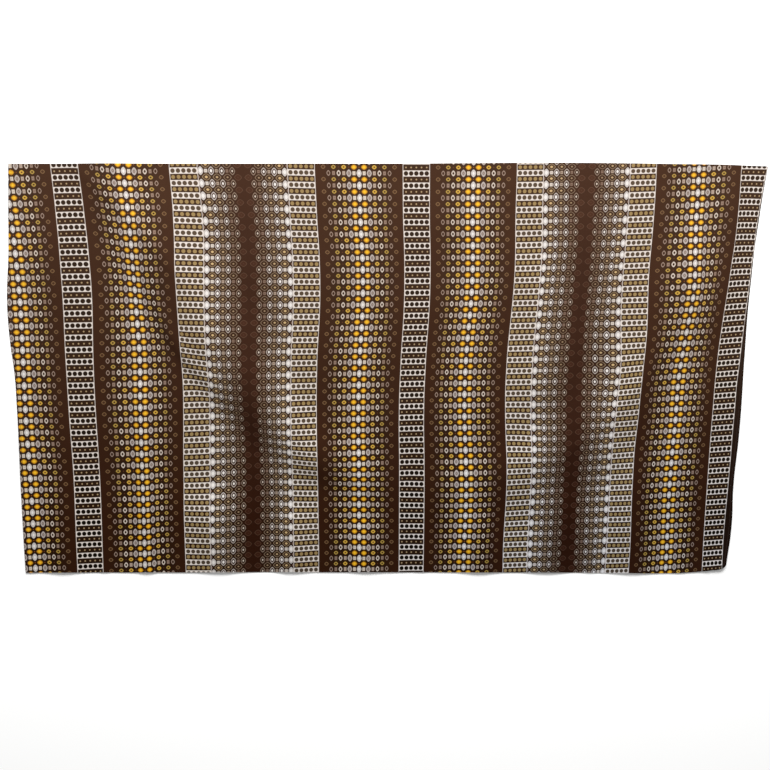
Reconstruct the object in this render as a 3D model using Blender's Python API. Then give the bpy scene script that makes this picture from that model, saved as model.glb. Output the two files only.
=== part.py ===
"""A printed cotton sarong laid out on a flat surface.

One open length of cloth, about 2.0 m by 1.14 m, with a narrow turned hem at each end. The cloth lies
flat but for a few soft folds: two long ones that swing down from the upper corners and meet below
the middle, a short crease at the left, and low ripples along the lower edge. X runs along the cloth,
Y across it and Z up from the surface. Its origin is at the middle of its box, on the surface.

The tables are in metres, measured from a point near the middle of the cloth, and are moved to the
middle of the box at the end.
"""
import math
from collections import namedtuple

import bmesh
import bpy
import numpy as np

# Cloth and hems
WALL = 0.0015
SEAM_GAP = 0.0003
HEM_DEPTH = 0.010
FOLD_RADIUS = (2 * WALL + SEAM_GAP) / 2
SEAM_INSET = FOLD_RADIUS + SEAM_GAP
HEM_LIFT = WALL + SEAM_GAP
HEM_LIFT_FLAT = 0.018
HEM_LIFT_END = 0.045

# How finely the solids are divided
PANEL_STEP = 0.034
HEM_STEP = 0.035
CORNER_COLUMNS = 5
FOLD_SAMPLES = 90
ROUND_SIDES = 4

EdgePoint = namedtuple("EdgePoint", "along across")
FoldPoint = namedtuple("FoldPoint", "x y rise left right")

# Where the left and right ends lie, from the lower edge to the upper: along is y, across is x
LEFT_END = (
    EdgePoint(-0.535, -0.9970),
    EdgePoint(-0.300, -0.9965),
    EdgePoint(-0.050, -0.9940),
    EdgePoint(0.030, -0.9950),
    EdgePoint(0.130, -1.0025),
    EdgePoint(0.360, -0.9910),
    EdgePoint(0.600, -0.9770),
)
RIGHT_END = (
    EdgePoint(-0.503, 0.9830),
    EdgePoint(-0.395, 0.9885),
    EdgePoint(-0.300, 0.9855),
    EdgePoint(-0.155, 0.9910),
    EdgePoint(0.080, 0.9915),
    EdgePoint(0.300, 0.9955),
    EdgePoint(0.450, 1.0045),
    EdgePoint(0.600, 1.0195),
)

# Where the upper and lower edges lie: along is x, across is y
UPPER_EDGE = (
    EdgePoint(-1.000, 0.5785),
    EdgePoint(0.000, 0.5890),
    EdgePoint(0.750, 0.5960),
    EdgePoint(0.930, 0.5945),
    EdgePoint(1.020, 0.5920),
)
LOWER_EDGE = (
    EdgePoint(-1.000, -0.5290),
    EdgePoint(0.916, -0.5445),
)

# The lower right corner is rounded, as part of an ellipse
CORNER_X = 0.916
CORNER_ACROSS = 0.067
CORNER_UP = 0.0415
HEM_END_FADE = 0.012
DRAWN_IN = 0.39

# Each fold is a crest with a slope on either side, in the order that it runs down the cloth
FOLDS = {
    "left_swag": (
        FoldPoint(-0.758, 0.610, 0.009, 0.100, 0.130),
        FoldPoint(-0.690, 0.492, 0.012, 0.125, 0.140),
        FoldPoint(-0.610, 0.380, 0.015, 0.145, 0.150),
        FoldPoint(-0.532, 0.244, 0.018, 0.145, 0.155),
        FoldPoint(-0.452, 0.098, 0.021, 0.132, 0.155),
        FoldPoint(-0.366, -0.024, 0.020, 0.116, 0.140),
        FoldPoint(-0.264, -0.138, 0.015, 0.100, 0.120),
        FoldPoint(-0.125, -0.226, 0.011, 0.090, 0.105),
        FoldPoint(0.060, -0.275, 0.000, 0.085, 0.095),
    ),
    "right_swag": (
        FoldPoint(0.838, 0.460, 0.000, 0.085, 0.055),
        FoldPoint(0.804, 0.325, 0.007, 0.120, 0.080),
        FoldPoint(0.768, 0.175, 0.011, 0.150, 0.100),
        FoldPoint(0.715, 0.050, 0.013, 0.155, 0.125),
        FoldPoint(0.618, -0.075, 0.013, 0.150, 0.160),
        FoldPoint(0.495, -0.172, 0.012, 0.120, 0.170),
        FoldPoint(0.335, -0.246, 0.009, 0.095, 0.170),
        FoldPoint(0.200, -0.278, 0.006, 0.085, 0.140),
        FoldPoint(0.090, -0.295, 0.000, 0.080, 0.110),
    ),
    "right_rise": (
        FoldPoint(0.720, 0.285, 0.000, 0.200, 0.150),
        FoldPoint(0.790, 0.275, 0.006, 0.230, 0.160),
        FoldPoint(0.880, 0.270, 0.007, 0.230, 0.160),
        FoldPoint(0.955, 0.270, 0.000, 0.200, 0.150),
    ),
    "left_rise": (
        FoldPoint(-0.645, -0.370, 0.000, 0.140, 0.110),
        FoldPoint(-0.550, -0.365, 0.006, 0.150, 0.110),
        FoldPoint(-0.440, -0.370, 0.007, 0.150, 0.110),
        FoldPoint(-0.350, -0.385, 0.000, 0.135, 0.100),
    ),
    "right_flute": (
        FoldPoint(0.912, 0.620, 0.005, 0.060, 0.050),
        FoldPoint(0.920, 0.424, 0.006, 0.060, 0.050),
        FoldPoint(0.918, 0.220, 0.000, 0.060, 0.045),
    ),
    "left_crease": (
        FoldPoint(-0.655, 0.030, 0.000, 0.030, 0.030),
        FoldPoint(-0.655, -0.080, 0.008, 0.035, 0.032),
        FoldPoint(-0.656, -0.300, 0.010, 0.040, 0.035),
        FoldPoint(-0.662, -0.580, 0.002, 0.040, 0.035),
    ),
    "ripple_far_left": (
        FoldPoint(-0.885, -0.250, 0.000, 0.060, 0.055),
        FoldPoint(-0.890, -0.400, 0.006, 0.065, 0.060),
        FoldPoint(-0.896, -0.580, 0.0010, 0.068, 0.060),
    ),
    "ripple_left": (
        FoldPoint(-0.440, -0.240, 0.000, 0.070, 0.070),
        FoldPoint(-0.452, -0.380, 0.007, 0.080, 0.070),
        FoldPoint(-0.462, -0.580, 0.0012, 0.085, 0.070),
    ),
    "ripple_middle_left": (
        FoldPoint(-0.250, -0.330, 0.000, 0.055, 0.070),
        FoldPoint(-0.256, -0.430, 0.008, 0.060, 0.075),
        FoldPoint(-0.262, -0.580, 0.0015, 0.062, 0.075),
    ),
    "ripple_middle": (
        FoldPoint(-0.050, -0.370, 0.000, 0.060, 0.065),
        FoldPoint(-0.052, -0.450, 0.006, 0.062, 0.068),
        FoldPoint(-0.055, -0.580, 0.0010, 0.065, 0.070),
    ),
    "ripple_middle_right": (
        FoldPoint(0.268, -0.350, 0.000, 0.070, 0.065),
        FoldPoint(0.270, -0.440, 0.007, 0.075, 0.068),
        FoldPoint(0.272, -0.580, 0.0012, 0.078, 0.070),
    ),
    "ripple_right": (
        FoldPoint(0.480, -0.290, 0.000, 0.080, 0.070),
        FoldPoint(0.474, -0.400, 0.008, 0.085, 0.075),
        FoldPoint(0.470, -0.580, 0.0015, 0.085, 0.078),
    ),
    "ripple_far_right": (
        FoldPoint(0.715, -0.180, 0.000, 0.075, 0.065),
        FoldPoint(0.705, -0.340, 0.007, 0.080, 0.070),
        FoldPoint(0.700, -0.580, 0.0012, 0.085, 0.075),
    ),
}

# Colour of the print's dark ground, as seen on the cloth and on its shaded hems
GROUND = (0.045, 0.020, 0.014, 1.0)
HEM_GROUND = (0.030, 0.014, 0.010, 1.0)
ROUGHNESS = 0.85


def smooth_through(knots, values, at):
    """Reads a smooth curve that passes through a table's rows. It stays level past both ends."""
    knots = np.asarray(knots, float)
    values = np.asarray(values, float)
    at = np.clip(at, knots[0], knots[-1])
    slopes = np.gradient(values, knots, axis=0)
    low = np.clip(np.searchsorted(knots, at) - 1, 0, len(knots) - 2)
    span = knots[low + 1] - knots[low]
    t = (at - knots[low]) / span
    if values.ndim > 1:
        span = span[..., None]
        t = t[..., None]
    start = values[low] + t * span * slopes[low]
    end = values[low + 1] - (1 - t) * span * slopes[low + 1]
    blend = t * t * (3 - 2 * t)
    return start * (1 - blend) + end * blend


def read_edge(rows, at):
    """Where an edge lies, at a distance along the cloth."""
    along, across = np.array(rows).T
    return smooth_through(along, across, at)


def step_up(t):
    """Goes smoothly from 0 to 1."""
    t = np.clip(t, 0, 1)
    return t * t * (3 - 2 * t)


def lower_edge(x, inset=0.0):
    """The lower edge, which rises round the rounded corner. Inset there makes room for the hem."""
    share = np.clip((x - CORNER_X) / (CORNER_ACROSS - inset), 0, 1)
    rise = (CORNER_UP - inset) * (1 - np.sqrt(1 - share**2))
    room = inset * step_up((x - CORNER_X + HEM_END_FADE) / HEM_END_FADE)
    return read_edge(LOWER_EDGE, x) + rise + room


def walk(path, samples):
    """Points and directions along a smooth line through the rows of a table."""
    rows = np.array(path, float)
    run = np.arange(len(rows), dtype=float)
    line = smooth_through(run, rows, np.linspace(0, run[-1], samples))
    way = np.gradient(line[:, :2], axis=0)
    way /= np.linalg.norm(way, axis=1)[:, None]
    return line, way


def fold_lift(x, y, path):
    """How far one fold lifts the cloth at each point."""
    line, way = walk(path, FOLD_SAMPLES)
    gap_x = x[..., None] - line[:, 0]
    gap_y = y[..., None] - line[:, 1]
    nearest = np.argmin(gap_x**2 + gap_y**2, axis=-1)
    reach_x = x - line[nearest, 0]
    reach_y = y - line[nearest, 1]
    side = -way[nearest, 1] * reach_x + way[nearest, 0] * reach_y
    away = np.hypot(reach_x, reach_y)
    rise, left, right = line[nearest, 2:].T
    width = np.where(side < 0, left.T, right.T)
    return rise.T * np.cos(np.clip(away / width, 0, 1) * math.pi / 2) ** 2


def drawn_in(x):
    """How far the lower edge is drawn in where a ripple stands in it."""
    edge = lower_edge(x)
    return DRAWN_IN * sum(fold_lift(x, edge, path) for path in FOLDS.values())


def right_outline():
    """The outer line of the right end, from its upper corner round the lower one."""
    top = read_edge(UPPER_EDGE, 1.02)
    bottom = RIGHT_END[0].along
    y = np.linspace(top, bottom, int((top - bottom) / HEM_STEP))
    straight = np.stack([read_edge(RIGHT_END, y), y], 1)
    turn = np.linspace(0, math.pi / 2, CORNER_COLUMNS * 2 + 1)[1:]
    bend = np.stack([CORNER_X + CORNER_ACROSS * np.cos(turn), bottom - CORNER_UP * np.sin(turn)], 1)
    return np.concatenate([straight, bend])


def left_outline():
    """The outer line of the left end, from its lower corner to its upper one."""
    bottom = lower_edge(np.array(-1.0))
    top = read_edge(UPPER_EDGE, -0.98)
    y = np.linspace(bottom, top, int((top - bottom) / HEM_STEP))
    return np.stack([read_edge(LEFT_END, y), y], 1)


def outward(line):
    """For each point of an outline that runs clockwise, the way that points out of the cloth."""
    way = np.gradient(line, axis=0)
    way /= np.linalg.norm(way, axis=1)[:, None]
    return np.stack([-way[:, 1], way[:, 0]], 1)


def hem_lift(x, y, outline):
    """The cloth lies on the turned layer of a hem, and comes down to the surface beside it."""
    gaps = np.hypot(x[..., None] - outline[:, 0], y[..., None] - outline[:, 1])
    share = (gaps.min(axis=-1) - HEM_LIFT_FLAT) / (HEM_LIFT_END - HEM_LIFT_FLAT)
    return HEM_LIFT * (1 - step_up(share))


def finely(line, times=12):
    """The same line with more points."""
    run = np.arange(len(line), dtype=float)
    at = np.linspace(0, run[-1], (len(line) - 1) * times + 1)
    return np.stack([np.interp(at, run, line[:, 0]), np.interp(at, run, line[:, 1])], 1)


def column_shares():
    """Where the panel's columns stand, from 0 at the left end to 1 at the right."""
    length = RIGHT_END[0].across - LEFT_END[0].across
    left = np.array([0, HEM_LIFT_FLAT, HEM_LIFT_END]) / length
    start = CORNER_X - HEM_END_FADE - LEFT_END[0].across
    middle = np.linspace(HEM_LIFT_END, start, int((start - HEM_LIFT_END) / PANEL_STEP))[1:] / length
    turn = np.linspace(0, math.pi / 2, CORNER_COLUMNS + 1)
    right = 1 - CORNER_ACROSS / length * (1 - np.sin(turn))
    return np.concatenate([left, middle, right])


def row_shares():
    """Where the panel's rows lie, from 0 at the lower edge to 1 at the upper."""
    height = UPPER_EDGE[1].across - LOWER_EDGE[0].across
    count = int(height / PANEL_STEP)
    return np.concatenate([[0], np.linspace(HEM_LIFT_FLAT / height, 1, count)])


def panel_points():
    """A grid of points on the underside of the panel."""
    across, up = np.meshgrid(column_shares(), row_shares(), indexing="ij")
    y = read_edge(LOWER_EDGE, 0.0) + up
    for _ in range(4):
        left = read_edge(LEFT_END, y) + SEAM_INSET
        right = read_edge(RIGHT_END, y) - SEAM_INSET
        x = left + (right - left) * across
        low = lower_edge(x, SEAM_INSET) + drawn_in(x)
        y = low + (read_edge(UPPER_EDGE, x) - low) * up
    lift = sum(fold_lift(x, y, path) for path in FOLDS.values())
    for outline in (finely(left_outline()), finely(right_outline())):
        lift = np.maximum(lift, hem_lift(x, y, outline))
    return x, y, lift


def solid(name, vertices, faces, colour):
    """Makes an object with its own material from points and faces."""
    mesh = bpy.data.meshes.new(name)
    mesh.from_pydata([tuple(map(float, v)) for v in vertices], [], faces)
    made = bpy.data.objects.new(name, mesh)
    bpy.context.scene.collection.objects.link(made)
    material = bpy.data.materials.new(name)
    material.use_nodes = True
    shader = material.node_tree.nodes["Principled BSDF"]
    shader.inputs["Base Color"].default_value = colour
    shader.inputs["Roughness"].default_value = ROUGHNESS
    mesh.materials.append(material)
    mesh.shade_smooth()
    mesh.set_sharp_from_angle(angle=math.radians(40))
    return made


def cloth_panel(centre):
    """The cloth, as a wall that stands up from its underside."""
    x, y, lift = panel_points()
    columns, rows = x.shape
    lower = np.stack([x - centre[0], y - centre[1], lift], -1).reshape(-1, 3)
    upper = lower + (0, 0, WALL)
    count = len(lower)
    faces = []
    for i in range(columns - 1):
        for j in range(rows - 1):
            a = i * rows + j
            b = a + rows
            # Each half's triangles lean the way its long fold runs, and both faces of the wall match
            if i < columns // 2:
                pair = ((a, b, a + 1), (b, b + 1, a + 1))
            else:
                pair = ((a, b, b + 1), (a, b + 1, a + 1))
            for triangle in pair:
                faces.append(tuple(k + count for k in triangle))
                faces.append(triangle[::-1])
    rim = [i * rows for i in range(columns)]
    rim += [(columns - 1) * rows + j for j in range(1, rows)]
    rim += [i * rows + rows - 1 for i in range(columns - 2, -1, -1)]
    rim += list(range(rows - 2, 0, -1))
    for a, b in zip(rim, rim[1:] + rim[:1]):
        faces.append((a, b, b + count, a + count))
    return solid("cloth_panel", np.concatenate([lower, upper]), faces, GROUND)


def hem_section():
    """The hem cut across: its turned layer on the surface and the round fold at its outer side."""
    turn = np.linspace(-math.pi / 2, math.pi / 2, ROUND_SIDES + 1)
    fold = [(FOLD_RADIUS * math.cos(a), FOLD_RADIUS + FOLD_RADIUS * math.sin(a)) for a in turn]
    return [(-HEM_DEPTH, 0.0)] + fold + [(0.0, WALL), (-HEM_DEPTH, WALL)]


def hem(name, outline, centre):
    """A turned hem along one end of the cloth."""
    out = outward(outline)
    line = outline - out * FOLD_RADIUS
    section = hem_section()
    sides = len(section)
    points = []
    for (x, y), (out_x, out_y) in zip(line, out):
        for across, up in section:
            points.append((x + out_x * across - centre[0], y + out_y * across - centre[1], up))
    faces = []
    for ring in range(len(line) - 1):
        for k in range(sides):
            a = ring * sides + k
            b = ring * sides + (k + 1) % sides
            faces.append((a, a + sides, b + sides, b))
    faces.append(tuple(range(sides)))
    faces.append(tuple(range(len(points) - 1, len(points) - sides - 1, -1)))
    made = solid(name, points, faces, HEM_GROUND)
    whole = bmesh.new()
    whole.from_mesh(made.data)
    bmesh.ops.recalc_face_normals(whole, faces=whole.faces)
    whole.to_mesh(made.data)
    whole.free()
    return made


def box_middle():
    """The middle of the cloth's box, seen from above."""
    x = np.linspace(LEFT_END[0].across, RIGHT_END[-1].across, 400)
    ends = np.concatenate([left_outline(), right_outline()])
    edges = np.concatenate([read_edge(UPPER_EDGE, x), lower_edge(x[x < CORNER_X])])
    return (
        (ends[:, 0].min() + ends[:, 0].max()) / 2,
        (edges.min() + edges.max()) / 2,
    )


def main():
    for old in list(bpy.data.objects):
        bpy.data.objects.remove(old)
    centre = box_middle()
    made = [
        cloth_panel(centre),
        hem("hem_left_end", left_outline(), centre),
        hem("hem_right_end", right_outline(), centre),
    ]
    for piece in made:
        print(piece.name, len(piece.data.vertices), "points", [round(d, 4) for d in piece.dimensions])


main()
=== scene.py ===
# %% [markdown]
# # A printed cotton sarong, laid out flat
#
# The object is one open length of cotton cloth, 2.0 m by 1.14 m, printed with stripes that run across
# it. It lies on a pale floor and is seen from above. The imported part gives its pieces, its box and where
# it rests. This lesson dresses that part: it draws the cloth as a thin shell with its soft folds,
# works out where each point of the print lies, and builds the print itself from simple formulas.

import math
from collections import namedtuple

import bpy
import numpy as np
from mathutils import Matrix, Vector


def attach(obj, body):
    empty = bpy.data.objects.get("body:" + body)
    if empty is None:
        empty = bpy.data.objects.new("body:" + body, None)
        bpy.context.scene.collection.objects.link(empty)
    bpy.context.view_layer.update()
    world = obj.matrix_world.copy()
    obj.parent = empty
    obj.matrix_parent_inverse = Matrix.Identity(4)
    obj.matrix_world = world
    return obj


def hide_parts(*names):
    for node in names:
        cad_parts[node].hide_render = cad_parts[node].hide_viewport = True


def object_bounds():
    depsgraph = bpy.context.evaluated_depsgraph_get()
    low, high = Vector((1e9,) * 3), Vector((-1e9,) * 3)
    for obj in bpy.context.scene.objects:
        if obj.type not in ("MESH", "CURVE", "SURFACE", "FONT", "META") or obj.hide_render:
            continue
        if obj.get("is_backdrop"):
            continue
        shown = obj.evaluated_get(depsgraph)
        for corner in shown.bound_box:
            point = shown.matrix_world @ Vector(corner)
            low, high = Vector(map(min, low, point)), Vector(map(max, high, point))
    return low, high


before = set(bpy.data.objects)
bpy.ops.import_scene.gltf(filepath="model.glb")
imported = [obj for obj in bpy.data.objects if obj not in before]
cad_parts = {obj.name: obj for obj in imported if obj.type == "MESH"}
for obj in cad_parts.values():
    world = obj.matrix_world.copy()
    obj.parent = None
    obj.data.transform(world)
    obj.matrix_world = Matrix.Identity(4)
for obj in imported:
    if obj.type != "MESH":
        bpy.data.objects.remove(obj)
cad_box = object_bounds()
print("nodes:", sorted(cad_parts))
print("part's box:", [round(high - low, 4) for low, high in zip(*cad_box)])

# %% [markdown]
# ## Driving sizes
#
# The solids are thick enough to be solid bodies. The real cloth is thinner, so the shell here is
# about a millimetre thick, on the same form. All tables are in metres, measured from a point near the
# middle of the cloth: x runs along the cloth and y across it. MIDDLE is where the middle of the
# part's box lies from that point, and every finished point is moved by it.

# %% Sizes of the cloth and its hems
CLOTH = 0.0010
PLY_GAP = 0.0002
FOLD_RADIUS = (2 * CLOTH + PLY_GAP) / 2
HEM_DEPTH = 0.010
SEAM_GAP = 0.0001
SEAM_INSET = FOLD_RADIUS + SEAM_GAP
HEM_LIFT = CLOTH + PLY_GAP
HEM_LIFT_FLAT = 0.014
HEM_LIFT_END = 0.040

EdgePoint = namedtuple("EdgePoint", "along across")
FoldPoint = namedtuple("FoldPoint", "x y rise left right")

# %% [markdown]
# ## The outline
#
# The four edges are nearly straight, but cloth never lies quite square. Each edge is a short table
# and a smooth curve goes through its rows. The lower right corner is rounded, as part of an ellipse.

# %% The edges
LEFT_END = (
    EdgePoint(-0.535, -0.9970),
    EdgePoint(-0.300, -0.9965),
    EdgePoint(-0.050, -0.9940),
    EdgePoint(0.030, -0.9950),
    EdgePoint(0.130, -1.0025),
    EdgePoint(0.360, -0.9910),
    EdgePoint(0.600, -0.9770),
)
RIGHT_END = (
    EdgePoint(-0.5155, 0.9800),
    EdgePoint(-0.395, 0.9885),
    EdgePoint(-0.300, 0.9855),
    EdgePoint(-0.155, 0.9910),
    EdgePoint(0.080, 0.9915),
    EdgePoint(0.300, 0.9955),
    EdgePoint(0.450, 1.0045),
    EdgePoint(0.600, 1.0195),
)
UPPER_EDGE = (
    EdgePoint(-1.000, 0.5785),
    EdgePoint(0.000, 0.5890),
    EdgePoint(0.750, 0.5960),
    EdgePoint(0.930, 0.5945),
    EdgePoint(1.020, 0.5920),
)
LOWER_EDGE = (
    EdgePoint(-1.000, -0.5290),
    EdgePoint(0.700, -0.5430),
    EdgePoint(0.800, -0.5443),
    EdgePoint(0.870, -0.5428),
    EdgePoint(0.945, -0.5355),
)
CORNER_X = 0.945
CORNER_ACROSS = 0.035
CORNER_UP = 0.020
HEM_END_FADE = 0.012


def smooth_through(knots, values, at):
    """Reads a smooth curve that passes through a table's rows. It stays level past both ends."""
    knots = np.asarray(knots, float)
    values = np.asarray(values, float)
    at = np.clip(at, knots[0], knots[-1])
    slopes = np.gradient(values, knots, axis=0)
    low = np.clip(np.searchsorted(knots, at) - 1, 0, len(knots) - 2)
    span = knots[low + 1] - knots[low]
    t = (at - knots[low]) / span
    if values.ndim > 1:
        span = span[..., None]
        t = t[..., None]
    start = values[low] + t * span * slopes[low]
    end = values[low + 1] - (1 - t) * span * slopes[low + 1]
    blend = t * t * (3 - 2 * t)
    return start * (1 - blend) + end * blend


def read_edge(rows, at):
    """Where an edge lies, at a distance along the cloth."""
    along, across = np.array(rows).T
    return smooth_through(along, across, at)


def step_up(t):
    """Goes smoothly from 0 to 1."""
    t = np.clip(t, 0, 1)
    return t * t * (3 - 2 * t)


def lower_edge(x, inset=0.0):
    """The lower edge, which rises round the rounded corner. Inset there makes room for the hem."""
    share = np.clip((x - CORNER_X) / (CORNER_ACROSS - inset), 0, 1)
    rise = (CORNER_UP - inset) * (1 - np.sqrt(1 - share**2))
    room = inset * step_up((x - CORNER_X + HEM_END_FADE) / HEM_END_FADE)
    return read_edge(LOWER_EDGE, x) + rise + room


# %% The lines that the hems follow
HEM_STEP = 0.006
CORNER_STEPS = 24


def right_outline():
    """The outer line of the right end, from its upper corner round the lower one."""
    top = read_edge(UPPER_EDGE, 1.02)
    bottom = RIGHT_END[0].along
    y = np.linspace(top, bottom, int((top - bottom) / HEM_STEP))
    straight = np.stack([read_edge(RIGHT_END, y), y], 1)
    turn = np.linspace(0, math.pi / 2, CORNER_STEPS + 1)[1:]
    bend = np.stack([CORNER_X + CORNER_ACROSS * np.cos(turn), bottom - CORNER_UP * np.sin(turn)], 1)
    return np.concatenate([straight, bend])


def left_outline():
    """The outer line of the left end, from its lower corner to its upper one."""
    bottom = lower_edge(np.array(-1.0))
    top = read_edge(UPPER_EDGE, -0.98)
    y = np.linspace(bottom, top, int((top - bottom) / HEM_STEP))
    return np.stack([read_edge(LEFT_END, y), y], 1)


def outward(line):
    """For each point of an outline that runs clockwise, the way that points out of the cloth."""
    way = np.gradient(line, axis=0)
    way /= np.linalg.norm(way, axis=1)[:, None]
    return np.stack([-way[:, 1], way[:, 0]], 1)


def box_middle():
    """The middle of the cloth's box, seen from above."""
    x = np.linspace(LEFT_END[0].across, RIGHT_END[-1].across, 400)
    ends = np.concatenate([left_outline(), right_outline()])
    edges = np.concatenate([read_edge(UPPER_EDGE, x), lower_edge(x[x < CORNER_X])])
    return np.array([
        (ends[:, 0].min() + ends[:, 0].max()) / 2,
        (edges.min() + edges.max()) / 2,
    ])


MIDDLE = box_middle()
print("middle of the box:", MIDDLE.round(5))

# %% [markdown]
# ## Camera, floor and light
#
# The camera looks down from just above the middle, a little from the upper side. A large soft light
# stands past the upper edge, so that each slope that faces the lower edge is a little darker. That is
# what makes the folds show on a busy print. The world fills in the rest with plain white light.

# %% The camera
TARGET = np.array([0.0, 0.0, 0.0])
CAMERA_DISTANCE = 2.4
CAMERA_PITCH = math.radians(9.0)
CAMERA_YAW = math.radians(2.2)
CAMERA_ROLL = math.radians(0.4)
CAMERA_LENS = 41.05
SENSOR = 36.0


def on_floor(x, y, z=0.0):
    """A place in the tables' frame, as a place in the part's frame."""
    return Vector((x - MIDDLE[0], y - MIDDLE[1], z))


def aim(name, data, place, back, roll=0.0):
    """Puts a camera or lamp in place, with its back to the given direction."""
    back = Vector(back).normalized()
    right = Vector((0, 1, 0)).cross(back).normalized()
    up = back.cross(right)
    tilted_right = math.cos(roll) * right + math.sin(roll) * up
    tilted_up = math.cos(roll) * up - math.sin(roll) * right
    made = bpy.data.objects.new(name, data)
    bpy.context.scene.collection.objects.link(made)
    turn = Matrix((tilted_right, tilted_up, back)).transposed().to_4x4()
    made.matrix_world = Matrix.Translation(place) @ turn
    return made


lens = bpy.data.cameras.new("camera")
lens.lens = CAMERA_LENS
lens.sensor_width = SENSOR
camera_back = Vector((
    -math.sin(CAMERA_YAW) * math.cos(CAMERA_PITCH),
    math.sin(CAMERA_PITCH),
    math.cos(CAMERA_PITCH) * math.cos(CAMERA_YAW),
)).normalized()
camera_place = on_floor(*TARGET) + CAMERA_DISTANCE * camera_back
camera = aim("camera", lens, camera_place, camera_back, CAMERA_ROLL)
bpy.context.scene.camera = camera
print("camera at", [round(v, 4) for v in camera.location])

# %% Light
KEY_PLACE = Vector((0.20, 4.0, 2.4))
KEY_SIZE = (4.0, 2.0)
KEY_POWER = 545.0
SKY = (1.0, 1.0, 1.0, 1.0)
SKY_STRENGTH = 0.42

lamp = bpy.data.lights.new("window_light", "AREA")
lamp.shape = "RECTANGLE"
lamp.size = KEY_SIZE[0]
lamp.size_y = KEY_SIZE[1]
lamp.energy = KEY_POWER
key = aim("window_light", lamp, KEY_PLACE, KEY_PLACE)

world = bpy.data.worlds.new("pale_room")
world.use_nodes = True
world.node_tree.nodes["Background"].inputs["Color"].default_value = SKY
world.node_tree.nodes["Background"].inputs["Strength"].default_value = SKY_STRENGTH
bpy.context.scene.world = world
bpy.context.scene.view_settings.view_transform = "Standard"
print("light", KEY_POWER, "W from", [round(v, 2) for v in KEY_PLACE])

# %% [markdown]
# ## Folds
#
# Two long folds swing down from the upper corners and meet below the middle, with a broad low rise
# beside each. A crease stands up at the left, and low ripples run into the lower edge. A fold is a path
# with a height and a width on either side. Its slope is a squared cosine, which starts and ends level,
# so folds add up without a seam. The part's solids hold these same folds. Below them come finer
# creases, which only the shell has.

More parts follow.
